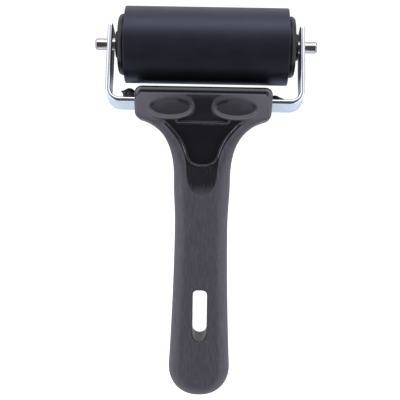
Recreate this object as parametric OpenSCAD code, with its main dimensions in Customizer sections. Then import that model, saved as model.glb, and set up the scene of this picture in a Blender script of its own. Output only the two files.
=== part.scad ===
// Rubber brayer: a free-turning rubber roller in a bent steel frame, with a moulded handle.
// Millimetres. The origin is at bench level under the middle of the tool's bounding box.
// +Y points from the handle to the roller, +X to the right, +Z up from the bench.

/* [Roller] */
// Length of the rubber sleeve
rubber_len = 100; // [90:0.2:102]
// Outside diameter of the rubber sleeve
rubber_dia = 47.5; // [46:0.1:48]
// Wall of the rubber sleeve
rubber_wall = 5; // [4:0.1:5.5]
// Wall of the core tube under the rubber
core_wall = 2.3; // [1.5:0.1:3]
// Height of the rubber above the bench while the tool rests on its stand
roller_lift = 1.5; // [1:0.1:2]
// How far the roller sits to the right of the middle of its side play
roller_offset = 0.4; // [0:0.1:0.7]

/* [End caps and washers] */
// Diameter of the cap flange
cap_dia = 37.8; // [37.8:0.1:40]
// Thickness of the cap flange, which stands proud of the rubber
cap_flange = 4.3; // [3.5:0.1:4.9]
// Rounding of the flange's outer edge
cap_edge = 3; // [1:0.1:3]
// Length of the plug inside the core tube
cap_plug = 14; // [10:1:20]
// Diameter of the washer between cap and arm
washer_dia = 16.4; // [12:0.1:18]
// Thickness of that washer
washer_t = 1.8; // [1:0.1:2.4]
// Bevel round the washer's outer face
washer_edge = 0.4; // [0.2:0.1:0.6]

/* [Axle] */
// Diameter of the axle between the arms
axle_dia = 8; // [7.4:0.1:8.4]
// Diameter of the two free ends
axle_end_dia = 6.9; // [5.5:0.1:6.9]
// Length of each free end outside its arm
axle_free = 7.9; // [4:0.1:10]

/* [Frame] */
// Outside width across the two arms
frame_w = 121; // [119.6:0.2:124]
// Width of the steel strip
strip_w = 18; // [16:0.5:18]
// Thickness of the steel strip
strip_t = 3.2; // [2.8:0.1:3.2]
// Distance from the axle to the middle of the base bar
arm_reach = 38.3; // [38:0.1:39]
// Length of each arm past the axle
arm_tail = 10.9; // [9:0.1:14]
// Inside radius of the two bends
bend_r = 5.6; // [3:0.1:6]
// Slope of the frame, rising from the axle to the base bar, in degrees
frame_tilt = 13.5; // [12:0.5:14]

/* [Handle] */
// Overall length of the tool
overall_len = 242.9; // [235:0.1:250]
// Width of the head
head_w = 83.8; // [80:0.2:86]
// Half the width of the grip at its waist
grip_waist = 16.1; // [14:0.1:17]
// Half the width of the grip where the rounded end begins
grip_end = 19; // [18:0.1:19.4]
// Thickness of the grip
grip_t = 18.5; // [16:0.5:20]
// Length of the hanging slot
slot_len = 33; // [24:1:36]
// Width of the hanging slot
slot_w = 9; // [6:0.5:12]

// How far the handle sits to the right of the middle of the frame
handle_shift = -0.8; // [-1:0.1:1]

/* [Stand] */
// Distance from the middle of the stand to each foot's outer tip
foot_reach = 52.4; // [50:0.2:53]
// How far the stand sits to the right of the middle of the frame
stand_shift = -2.2; // [-2.4:0.2:2.4]
// How far the left foot stands ahead of the right one
foot_stagger = 3; // [0:0.2:4]
// Thickness of the stand's plate
plate_t = 3.5; // [3:0.1:4]

/* [Hidden] */
$fn = 96;

// Small working gaps
seat_gap = 0.02;      // between pieces that are seated in each other
running_gap = 0.06;   // radial, between a cap's bore and the axle
loose_gap = 0.1;      // radial, between a washer and the axle
screw_gap = 0.2;      // radial, between a screw and its hole through the plate
face_gap = 0.05;      // axial, between a washer and its cap
cut = 1;              // how far a cutting shape overshoots the surface it cuts
weld = 0.1;           // how far two shapes of one solid run into each other
tall = 80;            // more than the height of the whole tool

// Places along the tool
axle_y = overall_len / 2 - rubber_dia / 2;
axle_z = roller_lift + rubber_dia / 2;
bar_y = axle_y - arm_reach * cos(frame_tilt);
bar_z = axle_z + arm_reach * sin(frame_tilt);
end_y = -overall_len / 2;

// Roller build-up
core_r = rubber_dia / 2 - rubber_wall;
plug_r = core_r - core_wall;
cap_face = rubber_len / 2 + cap_flange;   // outer face of a cap, from the roller's middle

// Handle centre line: level of slope in degrees, and lengths along it behind the base bar
shoulder_slope = -6.5;
end_slope = -18;
arch_len = 42;
tail_len = 143.7;
head_top = 11.5;      // height of the head's top face over the bar's middle
head_front = 9.3;     // front face of the head, ahead of the bar's middle
head_bevel = [4.6, 2.3]; // length and height of the bevel along the head's front edge
head_back = 10;       // where the head starts to thin down to the grip
head_blend = 40;      // length over which it does so
body_bottom = strip_w / 2; // the underside is level with the lower edge of the bar

// Plan outline of the handle: distances behind the axle
head_front_d = 26.7;
head_back_d = 47;
flare_end_d = 84;
waist_d = 110;
slot_d = 165.1;
head_corner = 5;      // radius of the head's front corners
head_taper = 1.6;     // each side draws in by this much towards the back
head_shoulder = 2;    // straight end of each side, ahead of its rear corner
flare_half = 38.6;    // half width where the concave neck starts
neck_half = 17.1;     // half width where it ends
grip_swell = 1.7;     // power of the curve that widens the grip towards its end
end_run = 21;         // length of the rounded end
end_pull = [19.9, 10.5, 13.9]; // shape of its curve: half width and distance to the tip of one control
                      // point, and half width of the next

// Thumb rests and the moulding recess on the head
thumb_x = 19.6;
thumb_half = [12.8, 5.4];
thumb_behind = 5.3;   // behind the bar's middle, along the head's top face
thumb_depth = 1.4;
recess_depth = 5;
recess_s = 20;        // where along the centre line that depth is measured

// Stand and its screws
plate_half = [36, 8];
plate_ahead = 1;      // the plate's middle, ahead of the bar's
screw_x = 22;
screw_behind = 3.6;
screw_r = 1.5;
screw_len = 12;
screw_head = [2.9, 2];
foot_t = 3.5;
pad = [5.6, 4.2];     // a foot's round pad: distance from the tip to its middle, and its radius
toe_r = 0.4;          // rounding of the tip
toe_ahead = 2;        // the tip is this much ahead of the pad's middle
foot_d = 30;          // distance of the feet behind the axle
ankle_r = 2.2;
ankle_in = 6.6;       // from the tip to the leg's middle, where it meets the foot
hip = [8, 5];         // length and width of the leg where it meets the plate
slice = 1;            // thickness of the two slices that a leg is stretched between
plate_back = plate_ahead - arm_reach - plate_half[1]; // the plate's rear edge, along the arms

// ---------- Curves ----------

// Distance back and rise of an arc that turns evenly from slope a0 to slope a1
function arc_run(a0, a1, len) =
    let (turn = (a1 - a0) * PI / 180)
    abs(turn) < 0.0001 ? [len * cos(a0), len * sin(a0)]
    : [len * (sin(a1) - sin(a0)) / turn, len * (cos(a0) - cos(a1)) / turn];

// Slope of the handle's centre line, s millimetres behind the base bar
function slope(s) =
    s < 0 ? frame_tilt
    : s < arch_len ? frame_tilt + (shoulder_slope - frame_tilt) * s / arch_len
    : shoulder_slope + (end_slope - shoulder_slope) * (s - arch_len) / tail_len;

// Point of the centre line, as [y, z]
function centre(s) =
    let (run = s < 0 ? [s * cos(frame_tilt), s * sin(frame_tilt)]
             : s < arch_len ? arc_run(frame_tilt, slope(s), s)
             : arc_run(frame_tilt, shoulder_slope, arch_len)
               + arc_run(shoulder_slope, slope(s), s - arch_len))
    [bar_y - run[0], bar_z + run[1]];

// Point h millimetres above the centre line
function above(s, h) = centre(s) + h * [sin(slope(s)), cos(slope(s))];

// Place on the centre line behind the arch that lies d millimetres behind the axle
function tail_s(d) =
    let (run = axle_y - d - centre(arch_len)[0],
         turn = (end_slope - shoulder_slope) * PI / 180,
         here = asin(sin(shoulder_slope) - run * turn / tail_len))
    arch_len + tail_len * (here - shoulder_slope) / (end_slope - shoulder_slope);

// Smooth step from 0 to 1 as t goes from 0 to 1
function ease(t) = let (u = min(max(t, 0), 1)) u * u * (3 - 2 * u);

// Height of the top surface over the centre line
function top_h(s) = head_top + (grip_t - body_bottom - head_top) * ease((s - head_back) / head_blend);

// Point of a cubic Bezier curve
function bezier(p, t) =
    pow(1 - t, 3) * p[0] + 3 * pow(1 - t, 2) * t * p[1] + 3 * (1 - t) * t * t * p[2] + pow(t, 3) * p[3];

// Half width of the grip, d millimetres behind the axle
function grip_half(d) =
    d < waist_d
    ? neck_half + (grip_waist - neck_half) * ease((d - flare_end_d) / (waist_d - flare_end_d))
    : grip_waist + (grip_end - grip_waist) * pow((d - waist_d) / (end_d - waist_d), grip_swell);

total_d = axle_y - end_y;                                // axle to the end of the handle
end_d = total_d - end_run;                               // where the rounded end begins

// Right-hand half of the plan outline, as [x, distance behind the axle]
neck_curve = [[flare_half, head_back_d], [26, 50.5], [16.8, 61], [neck_half, flare_end_d]];
end_curve = [[grip_end, end_d], [end_pull[0], total_d - end_pull[1]], [end_pull[2], total_d], [0, total_d]];
half_outline = concat(
    [for (a = [90 : -10 : 0])
        [head_w / 2 - head_corner + head_corner * cos(a), head_front_d + head_corner - head_corner * sin(a)]],
    [[head_w / 2 - head_taper, head_back_d - head_shoulder]],
    [for (t = [0 : 0.05 : 0.96]) bezier(neck_curve, t)],
    [for (k = [0 : 20]) let (d = flare_end_d + (end_d - flare_end_d) * k / 20) [grip_half(d), d]],
    [for (t = [0.05 : 0.05 : 0.96]) bezier(end_curve, t)],
    [[0, total_d]]);

// Outline of the recess between the neck's two ribs, as [x, distance behind the axle]
recess_curve = [[24, 48.2], [15, 56], [11.5, 63], [9.4, 69]];
recess_half = concat(
    [for (t = [0 : 0.1 : 1]) bezier(recess_curve, t)],
    [[7.4, 72.3], [4.7, 74.2]]);

// ---------- Shared shapes ----------

// Places children in the frame's own axes: origin on the axle, +Y along the arms, +Z across the strip
module in_frame() {
    translate([0, axle_y, axle_z]) rotate([-frame_tilt, 0, 0]) children();
}

// Turns a shape drawn along +Z onto the axle line, pointing right or left
module on_axle(side = 1) {
    translate([0, axle_y, axle_z]) rotate([0, side * 90, 0]) children();
}

// Shape that is symmetric about X = 0, from the points of its right-hand half
module mirrored_plan(half) {
    right = [for (p = half) [p[0], axle_y - p[1]]];
    left = [for (k = [len(half) - 1 : -1 : 0]) if (half[k][0] > 0) [-half[k][0], axle_y - half[k][1]]];
    polygon(concat(right, left));
}

// Flat shape with parallel sides and round ends, longer than it is wide
module stadium(half_len, half_w) {
    square([2 * (half_len - half_w), 2 * half_w], center = true);
    for (side = [-1, 1]) translate([side * (half_len - half_w), 0]) circle(half_w);
}

// ---------- Handle ----------

// Side view of the moulding, drawn as [y, z]
module side_profile() {
    steps = 48;
    last = arch_len + tail_len + 4 * cut;
    bevel_s = head_bevel[0] - head_front;
    stations = [for (k = [0 : steps]) bevel_s + (last - bevel_s) * k / steps];
    upper = concat([above(-head_front, head_top - head_bevel[1])],
                   [for (s = stations) above(s, top_h(s))]);
    lower = concat([for (k = [steps : -1 : 0]) above(stations[k], -body_bottom)],
                   [above(-head_front, -body_bottom)]);
    polygon(concat(upper, lower));
}

module thumb_rests() {
    for (side = [-1, 1])
        in_frame() translate([side * thumb_x, -arm_reach - thumb_behind, head_top - thumb_depth])
            linear_extrude(thumb_depth + 3 * cut) stadium(thumb_half[0], thumb_half[1]);
}

module hanging_slot() {
    s = tail_s(slot_d);
    c = centre(s);
    translate([0, c[0], c[1]]) rotate([-slope(s), 0, 0])
        linear_extrude(2 * grip_t, center = true) rotate(90) stadium(slot_len / 2, slot_w / 2);
}

module handle() {
    color([0.24, 0.24, 0.27]) difference() {
        translate([handle_shift, 0, 0]) difference() {
            intersection() {
                linear_extrude(tall) mirrored_plan(half_outline);
                rotate([90, 0, 90]) linear_extrude(head_w + 2 * cut, center = true) side_profile();
            }
            thumb_rests();
            translate([0, 0, above(recess_s, head_top)[1] - recess_depth])
                linear_extrude(tall) mirrored_plan(recess_half);
            hanging_slot();
        }
        // groove for the base bar, open underneath
        in_frame() translate([-head_w, -arm_reach - strip_t / 2 - seat_gap, -strip_w])
            cube([2 * head_w, strip_t + 2 * seat_gap, 1.5 * strip_w + seat_gap]);
        // flat seat for the stand's plate
        in_frame() translate([-head_w, plate_back - seat_gap, -body_bottom - tall])
            cube([2 * head_w, 2 * plate_half[1] + seat_gap, tall]);
        screw_places() translate([0, 0, -cut])
            cylinder(h = screw_len - plate_t + 2 * cut, r = screw_r + seat_gap);
    }
}

// ---------- Frame ----------

// One quarter of a round bend, drawn in the corner it turns about
module bend(inner_r, outer_r) {
    intersection() {
        difference() {
            circle(outer_r);
            circle(inner_r);
        }
        translate([0, -outer_r]) square(outer_r);
    }
}

module frame_strip() {
    inner_w = frame_w - 2 * strip_t;
    bend_out = bend_r + strip_t;
    bend_y = strip_t / 2 - arm_reach + bend_r;
    color([0.8, 0.82, 0.86]) in_frame() difference() {
        translate([0, 0, -strip_w / 2]) linear_extrude(strip_w) {
            translate([bend_r - inner_w / 2, -arm_reach - strip_t / 2]) square([inner_w - 2 * bend_r, strip_t]);
            for (side = [0, 1]) mirror([side, 0]) {
                translate([inner_w / 2, bend_y]) square([strip_t, arm_tail - bend_y]);
                translate([inner_w / 2 - bend_r, bend_y]) bend(bend_r, bend_out);
            }
        }
        rotate([0, 90, 0]) cylinder(h = frame_w + 2 * cut, r = axle_dia / 2, center = true);
    }
}

module axle() {
    inside = frame_w / 2;
    tip = 0.8;   // bevel round each end
    color([0.78, 0.78, 0.8]) {
        on_axle() cylinder(h = 2 * inside, r = axle_dia / 2, center = true);
        for (side = [-1, 1]) on_axle(side) translate([0, 0, inside]) {
            cylinder(h = axle_free - tip, r = axle_end_dia / 2);
            translate([0, 0, axle_free - tip])
                cylinder(h = tip, r1 = axle_end_dia / 2, r2 = axle_end_dia / 2 - tip);
        }
    }
}

// ---------- Stand ----------

// Places children where the two screws meet the handle's underside, pointing up into it
module screw_places() {
    for (side = [-1, 1])
        in_frame() translate([stand_shift + side * screw_x, -arm_reach - screw_behind, -body_bottom])
            children();
}

// A foot with a round pad and a pointed outer tip, standing on the bench
module foot() {
    linear_extrude(foot_t) hull() {
        translate([foot_reach - pad[0], 0]) circle(pad[1], $fn = 48);
        translate([foot_reach - toe_r, toe_ahead]) circle(toe_r, $fn = 16);
    }
}

module leg(forward) {
    foot_y = axle_y - foot_d + forward;
    translate([0, foot_y, 0]) foot();
    hull() {
        translate([foot_reach - ankle_in, foot_y, foot_t - slice])
            cylinder(h = slice, r = ankle_r, $fn = 24);
        in_frame() translate([plate_half[0] - hip[0], plate_back, -body_bottom - plate_t])
            cube([hip[0], hip[1], slice]);
    }
}

module rest_stand() {
    color([0.16, 0.16, 0.18]) difference() {
        translate([stand_shift, 0, 0]) {
            in_frame() translate([-plate_half[0], plate_back, -body_bottom - plate_t])
                cube([2 * plate_half[0], 2 * plate_half[1], plate_t - seat_gap]);
            mirror([1, 0, 0]) leg(foot_stagger / 2);
            leg(-foot_stagger / 2);
        }
        screw_places() translate([0, 0, -plate_t - cut])
            cylinder(h = plate_t + 2 * cut, r = screw_r + screw_gap);
    }
}

module stand_screws() {
    slot = [0.9, 3.4, 1.1];   // one bar of the cross recess
    color([0.7, 0.7, 0.72]) screw_places() translate([0, 0, -plate_t]) difference() {
        union() {
            cylinder(h = screw_len, r = screw_r);
            translate([0, 0, -screw_head[1]]) cylinder(h = screw_head[1], r = screw_head[0]);
        }
        for (turn = [0, 90]) rotate(turn) translate([0, 0, -screw_head[1]])
            cube([slot[0], slot[1], 2 * slot[2]], center = true);
    }
}

// ---------- Roller ----------

// Places children on the roller's own middle, which sits a little to the right
module on_roller(side = 1) {
    translate([roller_offset, 0, 0]) on_axle(side) children();
}

module washer(side) {
    on_roller(side) translate([0, 0, cap_face + face_gap]) difference() {
        union() {
            cylinder(h = washer_t - washer_edge, r = washer_dia / 2);
            translate([0, 0, washer_t - washer_edge])
                cylinder(h = washer_edge, r1 = washer_dia / 2, r2 = washer_dia / 2 - washer_edge);
        }
        translate([0, 0, -cut]) cylinder(h = washer_t + 2 * cut, r = axle_dia / 2 + loose_gap);
    }
}

module end_cap(side) {
    hub_r = 7.5;
    rim = 2.5;
    web = 2;
    on_roller(side) translate([0, 0, rubber_len / 2]) difference() {
        union() {
            rotate_extrude() {
                square([cap_dia / 2, cap_flange - cap_edge]);
                square([cap_dia / 2 - cap_edge, cap_flange]);
                intersection() {
                    translate([cap_dia / 2 - cap_edge, cap_flange - cap_edge]) circle(cap_edge);
                    square([cap_dia, cap_dia]);
                }
            }
            translate([0, 0, -cap_plug]) cylinder(h = cap_plug + weld, r = plug_r - seat_gap);
        }
        // hollow between the hub and the rim of the plug
        translate([0, 0, -cap_plug - cut]) difference() {
            cylinder(h = cap_plug + cut - web, r = plug_r - rim);
            cylinder(h = cap_plug + cut - web, r = hub_r);
        }
        translate([0, 0, -cap_plug - cut])
            cylinder(h = cap_plug + cap_flange + 2 * cut, r = axle_dia / 2 + running_gap);
    }
}

// Plain tube centred on the roller
module tube(outer_r, inner_r, length) {
    on_roller() difference() {
        cylinder(h = length, r = outer_r, center = true);
        cylinder(h = length + 2 * cut, r = inner_r, center = true);
    }
}

module left_washer() { color([0.1, 0.1, 0.11]) washer(-1); }
module right_washer() { color([0.1, 0.1, 0.11]) washer(1); }
module left_end_cap() { color([0.14, 0.14, 0.16]) end_cap(-1); }
module right_end_cap() { color([0.14, 0.14, 0.16]) end_cap(1); }
module core_tube() { color([0.75, 0.74, 0.7]) tube(core_r, plug_r, rubber_len - 2 * seat_gap); }
module rubber_sleeve() { color([0.11, 0.11, 0.13]) tube(rubber_dia / 2, core_r + seat_gap, rubber_len - 2 * seat_gap); }

handle();
frame_strip();
rest_stand();
stand_screws();
axle();
left_washer();
right_washer();
rubber_sleeve();
core_tube();
left_end_cap();
right_end_cap();
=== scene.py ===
"""Looks of the rubber brayer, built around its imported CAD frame.

Shapes are worked out in millimetres in the row frame and become metres when a mesh is made.
Moulded pieces are distance fields turned into meshes; turned pieces are lathed; the strip is swept.
"""

import math
from itertools import product

import bmesh
import bpy
import numpy as np
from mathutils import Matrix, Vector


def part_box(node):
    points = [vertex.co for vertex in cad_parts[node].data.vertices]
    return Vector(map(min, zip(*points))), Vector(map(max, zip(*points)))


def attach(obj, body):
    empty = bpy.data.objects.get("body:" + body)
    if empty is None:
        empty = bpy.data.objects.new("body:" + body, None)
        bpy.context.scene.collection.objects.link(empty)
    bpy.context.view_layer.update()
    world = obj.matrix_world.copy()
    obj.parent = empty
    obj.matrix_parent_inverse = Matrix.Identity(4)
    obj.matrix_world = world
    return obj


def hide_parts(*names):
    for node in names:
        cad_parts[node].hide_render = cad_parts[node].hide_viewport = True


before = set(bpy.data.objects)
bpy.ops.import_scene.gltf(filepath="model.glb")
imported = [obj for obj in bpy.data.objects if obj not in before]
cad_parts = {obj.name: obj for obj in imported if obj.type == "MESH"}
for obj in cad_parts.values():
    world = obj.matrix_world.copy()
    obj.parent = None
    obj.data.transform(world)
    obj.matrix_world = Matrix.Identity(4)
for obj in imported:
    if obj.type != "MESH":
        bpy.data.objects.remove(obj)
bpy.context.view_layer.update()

MM = 0.001


# ---------------------------------------------------------------- places taken from the frame

def corners(node):
    """Lowest and highest corners of a CAD node, in millimetres."""
    low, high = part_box(node)
    return np.array(low) / MM, np.array(high) / MM


AXLE_LOW, AXLE_HIGH = corners("axle")
AXLE_Y = (AXLE_LOW[1] + AXLE_HIGH[1]) / 2
AXLE_Z = (AXLE_LOW[2] + AXLE_HIGH[2]) / 2
AXLE_R = (AXLE_HIGH[2] - AXLE_LOW[2]) / 2
STRIP_LOW, STRIP_HIGH = corners("frame_strip")
HANDLE_LOW, HANDLE_HIGH = corners("handle")
HANDLE_X = (HANDLE_LOW[0] + HANDLE_HIGH[0]) / 2
SLEEVE_LOW, SLEEVE_HIGH = corners("rubber_sleeve")
STAND_LOW, STAND_HIGH = corners("rest_stand")
STAND_X = (STAND_LOW[0] + STAND_HIGH[0]) / 2

TILT = math.radians(13.5)     # the frame rises from the axle to its base bar
ARM_REACH = 38.3              # axle to the middle of the base bar
STRIP_T = 3.2
STRIP_W = 18.0
STRIP_EDGE_R = 1.3
STRIP_TAIL = 10.9             # length of each arm past the axle
BEND_R = 5.6                  # inside radius of the frame's bends
BAR_Y = AXLE_Y - ARM_REACH * math.cos(TILT)
BAR_Z = AXLE_Z + ARM_REACH * math.sin(TILT)


def frame_axes(y, z):
    """Distance along the arms (positive past the axle) and height across the strip, from y and z."""
    dy, dz = y - AXLE_Y, z - AXLE_Z
    return dy * math.cos(TILT) - dz * math.sin(TILT), dy * math.sin(TILT) + dz * math.cos(TILT)


def from_frame(x, along, across):
    """Point of the row frame from a place in the frame's own axes."""
    return (x,
            AXLE_Y + along * math.cos(TILT) + across * math.sin(TILT),
            AXLE_Z - along * math.sin(TILT) + across * math.cos(TILT))


# ---------------------------------------------------------------- small maths

def ramp(t):
    """Straight ramp from 0 to 1."""
    return np.clip(t, 0, 1)


def ease(t):
    """Smooth step from 0 to 1."""
    t = np.clip(t, 0.0, 1.0)
    return t * t * (3 - 2 * t)


def bezier(points, count):
    """Points along a cubic Bezier curve, without its last one."""
    t = np.linspace(0, 1, count, endpoint=False)[:, None]
    p = np.array(points, float)
    return ((1 - t) ** 3 * p[0] + 3 * (1 - t) ** 2 * t * p[1]
            + 3 * (1 - t) * t * t * p[2] + t ** 3 * p[3])


def round_overlap(a, b, r):
    """Distance to the overlap of shapes a and b, whose shared edge is rounded to radius r."""
    u, v = a + r, b + r
    return np.minimum(np.maximum(u, v), 0) + np.hypot(np.maximum(u, 0), np.maximum(v, 0)) - r


def carve(body, cutter, r):
    """Distance to body with cutter taken out of it, leaving a rim rounded to about r."""
    return round_overlap(body, -cutter, r)


def blend_union(a, b, k):
    """Distance to a and b joined by a fillet of size k."""
    mix = np.clip(0.5 + 0.5 * (b - a) / k, 0, 1)
    return b + (a - b) * mix - k * mix * (1 - mix)


def ellipse_distance(x, y, half_x, half_y):
    """Close estimate of the distance to an ellipse."""
    k0 = np.hypot(x / half_x, y / half_y)
    k1 = np.hypot(x / half_x ** 2, y / half_y ** 2) + 1e-9
    return k0 * (k0 - 1) / k1


def polygon_distance(points, x, y):
    """Signed distance from each (x, y) to a closed polygon, negative inside."""
    p = np.array(points, float)
    best = np.full(np.broadcast(x, y).shape, 1e9)
    inside = np.zeros(best.shape, bool)
    for a, b in zip(p, np.roll(p, -1, axis=0)):
        edge = b - a
        length2 = max(edge @ edge, 1e-12)
        t = np.clip(((x - a[0]) * edge[0] + (y - a[1]) * edge[1]) / length2, 0, 1)
        best = np.minimum(best, (x - a[0] - t * edge[0]) ** 2 + (y - a[1] - t * edge[1]) ** 2)
        if a[1] != b[1]:
            crosses = (a[1] > y) != (b[1] > y)
            inside ^= crosses & (x < a[0] + (y - a[1]) * edge[0] / edge[1])
    return np.where(inside, -1, 1) * np.sqrt(best)


class Lattice:
    """A closed polygon's signed distance, worked out once on a grid and read back between its points."""

    def __init__(self, points, low, high, cell=0.4):
        self.low, self.cell = np.array(low, float), cell
        axes = [np.arange(a, b + cell, cell) for a, b in zip(low, high)]
        self.values = polygon_distance(points, axes[0][:, None], axes[1][None, :])

    def __call__(self, x, y):
        size = np.array(self.values.shape)
        u = np.clip((x - self.low[0]) / self.cell, 0, size[0] - 1.001)
        v = np.clip((y - self.low[1]) / self.cell, 0, size[1] - 1.001)
        u, v = np.broadcast_arrays(u, v)
        i, j = u.astype(np.int32), v.astype(np.int32)
        fu, fv = u - i, v - j
        table = self.values
        return ((table[i, j] * (1 - fv) + table[i, j + 1] * fv) * (1 - fu)
                + (table[i + 1, j] * (1 - fv) + table[i + 1, j + 1] * fv) * fu)


# ---------------------------------------------------------------- mesh makers

def new_object(name, vertices, faces):
    """A smooth-shaded object from points in millimetres."""
    mesh = bpy.data.meshes.new(name)
    mesh.from_pydata((np.asarray(vertices, float) * MM).tolist(), [], faces)
    mesh.validate()
    mesh.polygons.foreach_set("use_smooth", [True] * len(mesh.polygons))
    mesh.update()
    piece = bpy.data.objects.new(name, mesh)
    bpy.context.scene.collection.objects.link(piece)
    return piece


def gradient(distance, points, step=0.04):
    """Direction in which a distance field grows, at each point."""
    slope = np.zeros_like(points)
    for axis in range(3):
        shift = np.zeros(3)
        shift[axis] = step
        ahead, behind = points + shift, points - shift
        slope[:, axis] = (distance(*ahead.T) - distance(*behind.T)) / (2 * step)
    return slope


def surface_mesh(name, distance, low, high, cell):
    """Closed mesh of the surface where distance(x, y, z) is zero.

    Surface nets: each grid cell that the surface crosses gets one vertex, which is then slid onto
    the surface, and each crossed grid edge gets one quad between the four cells around it.
    """
    axes = [np.arange(a - 1.5 * cell, b + 2.5 * cell, cell) for a, b in zip(low, high)]
    inside = distance(axes[0][:, None, None], axes[1][None, :, None], axes[2][None, None, :]) < 0
    size = np.array(inside.shape)
    count = np.zeros(size - 1, np.int8)
    for a, b, c in product((0, 1), repeat=3):
        count += inside[a:size[0] - 1 + a, b:size[1] - 1 + b, c:size[2] - 1 + c]
    cells = np.argwhere((count > 0) & (count < 8))
    index = np.full(size - 1, -1, np.int64)
    index[tuple(cells.T)] = np.arange(len(cells))

    points = np.array([axis[0] for axis in axes]) + (cells + 0.5) * cell
    for _ in range(5):
        slope = gradient(distance, points)
        size2 = np.maximum((slope ** 2).sum(1), 0.05)
        move = -(distance(*points.T) / size2)[:, None] * slope
        points += np.clip(move, -0.6 * cell, 0.6 * cell)

    quads = []
    for axis in range(3):
        b, c = (axis + 1) % 3, (axis + 2) % 3
        lower = np.take(inside, range(size[axis] - 1), axis)
        upper = np.take(inside, range(1, size[axis]), axis)
        crossed = np.argwhere(lower != upper)
        around = []
        for step_b, step_c in ((-1, -1), (0, -1), (0, 0), (-1, 0)):
            cell_at = crossed.copy()
            cell_at[:, b] += step_b
            cell_at[:, c] += step_c
            around.append(index[tuple(cell_at.T)])
        quad = np.stack(around, 1)
        flip = ~lower[tuple(crossed.T)]
        quad[flip] = quad[flip][:, ::-1]
        quads.append(quad)
    piece = new_object(name, points, np.concatenate(quads).tolist())
    normals = gradient(distance, points)
    normals /= np.maximum(np.linalg.norm(normals, axis=1), 1e-9)[:, None]
    piece.data.normals_split_custom_set_from_vertices(normals.tolist())
    return piece, points


def filleted(outline, steps=5):
    """Closed outline of (a, b, radius) corners with each corner turned into an arc of its radius."""
    points = []
    for k, (a, b, r) in enumerate(outline):
        here = np.array([a, b], float)
        before = np.array(outline[k - 1][:2], float)
        after = np.array(outline[(k + 1) % len(outline)][:2], float)
        if r <= 0:
            points.append(here)
            continue
        u = (before - here) / np.linalg.norm(before - here)
        v = (after - here) / np.linalg.norm(after - here)
        half = math.acos(np.clip(u @ v, -1, 1)) / 2
        reach = r / math.tan(half)
        middle = here + (u + v) / np.linalg.norm(u + v) * r / math.sin(half)
        start, end = here + u * reach - middle, here + v * reach - middle
        sweep = math.pi - 2 * half
        side = np.sign(start[0] * end[1] - start[1] * end[0])
        for t in np.linspace(0, sweep, steps):
            cos_t, sin_t = math.cos(t * side), math.sin(t * side)
            points.append(middle + [start[0] * cos_t - start[1] * sin_t, start[0] * sin_t + start[1] * cos_t])
    return points


def keep_flats_flat(piece):
    """Weighted normals, so that flat faces beside small rounded edges still look flat."""
    modifier = piece.modifiers.new("weighted", "WEIGHTED_NORMAL")
    modifier.keep_sharp = True
    modifier.weight = 90
    return piece


def lathe(name, outline, side=1, origin=0.0, segments=144):
    """Ring-shaped piece turned about the axle from a closed outline of (x, radius, corner radius)."""
    ring = filleted(outline)
    vertices, faces = [], []
    for k in range(segments):
        angle = 2 * math.pi * k / segments
        for x, r in ring:
            vertices.append((origin + side * x, AXLE_Y + r * math.cos(angle), AXLE_Z + r * math.sin(angle)))
    n = len(ring)
    for k in range(segments):
        here, there = k * n, (k + 1) % segments * n
        for j in range(n):
            face = [here + j, here + (j + 1) % n, there + (j + 1) % n, there + j]
            faces.append(face if side > 0 else face[::-1])
    piece = new_object(name, vertices, faces)
    recalculate_normals(piece)
    return keep_flats_flat(piece)


def recalculate_normals(piece):
    """Turns every face outwards."""
    mesh = bmesh.new()
    mesh.from_mesh(piece.data)
    bmesh.ops.recalc_face_normals(mesh, faces=mesh.faces)
    mesh.to_mesh(piece.data)
    mesh.free()


# ---------------------------------------------------------------- materials

def new_material(name, metallic=0.0):
    """Principled material, with its shader and its rest coordinates."""
    material = bpy.data.materials.new(name)
    material.use_nodes = True
    nodes = material.node_tree.nodes
    shader = nodes["Principled BSDF"]
    shader.inputs["Metallic"].default_value = metallic
    place = nodes.new("ShaderNodeTexCoord")
    return material, shader, place.outputs["Object"]


def add(material, kind, **inputs):
    """Adds a node and fills its inputs, linking those that are sockets.

    A keyword is an input's name with _ for each space, or _ and the input's number.
    """
    node = material.node_tree.nodes.new("ShaderNode" + kind)
    for key, value in inputs.items():
        socket = node.inputs[int(key[1:])] if key[1:].isdigit() else node.inputs[key.replace("_", " ")]
        if isinstance(value, bpy.types.NodeSocket):
            material.node_tree.links.new(value, socket)
        else:
            socket.default_value = value
    return node


def link(material, output, socket):
    """Joins an output to an input."""
    material.node_tree.links.new(output, socket)


def noise(material, place, stretch, detail=3.0, roughness=0.6):
    """Noise whose features are about stretch = (x, y, z) millimetres in size."""
    scaled = add(material, "Mapping", Vector=place)
    scaled.inputs["Scale"].default_value = [1 / (s * MM) for s in stretch]
    return add(material, "TexNoise", Vector=scaled.outputs[0], Scale=1.0, Detail=detail,
               Roughness=roughness).outputs["Fac"]


def spread(material, value, low, high, out_low, out_high):
    """Maps a value from one range to another, held within it."""
    node = add(material, "MapRange", Value=value)
    for key, number in (("From Min", low), ("From Max", high), ("To Min", out_low), ("To Max", out_high)):
        node.inputs[key].default_value = number
    return node.outputs[0]


def mix_colors(material, factor, a, b):
    """Colour a where factor is 0 and b where it is 1."""
    node = material.node_tree.nodes.new("ShaderNodeMix")
    node.data_type = "RGBA"
    for socket, value in ((node.inputs[0], factor), (node.inputs[6], a), (node.inputs[7], b)):
        if isinstance(value, bpy.types.NodeSocket):
            material.node_tree.links.new(value, socket)
        elif isinstance(value, (int, float)):
            socket.default_value = value
        else:
            socket.default_value = (*value, 1)
    return node.outputs[2]


def math_node(material, operation, a, b):
    """Result of an operation on two numbers or sockets."""
    node = add(material, "Math", _0=a, _1=b)
    node.operation = operation
    return node.outputs[0]


def bump(material, height, distance, strength=1.0):
    """Bump of the given height in millimetres."""
    return add(material, "Bump", Height=height, Distance=distance * MM, Strength=strength).outputs[0]


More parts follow.
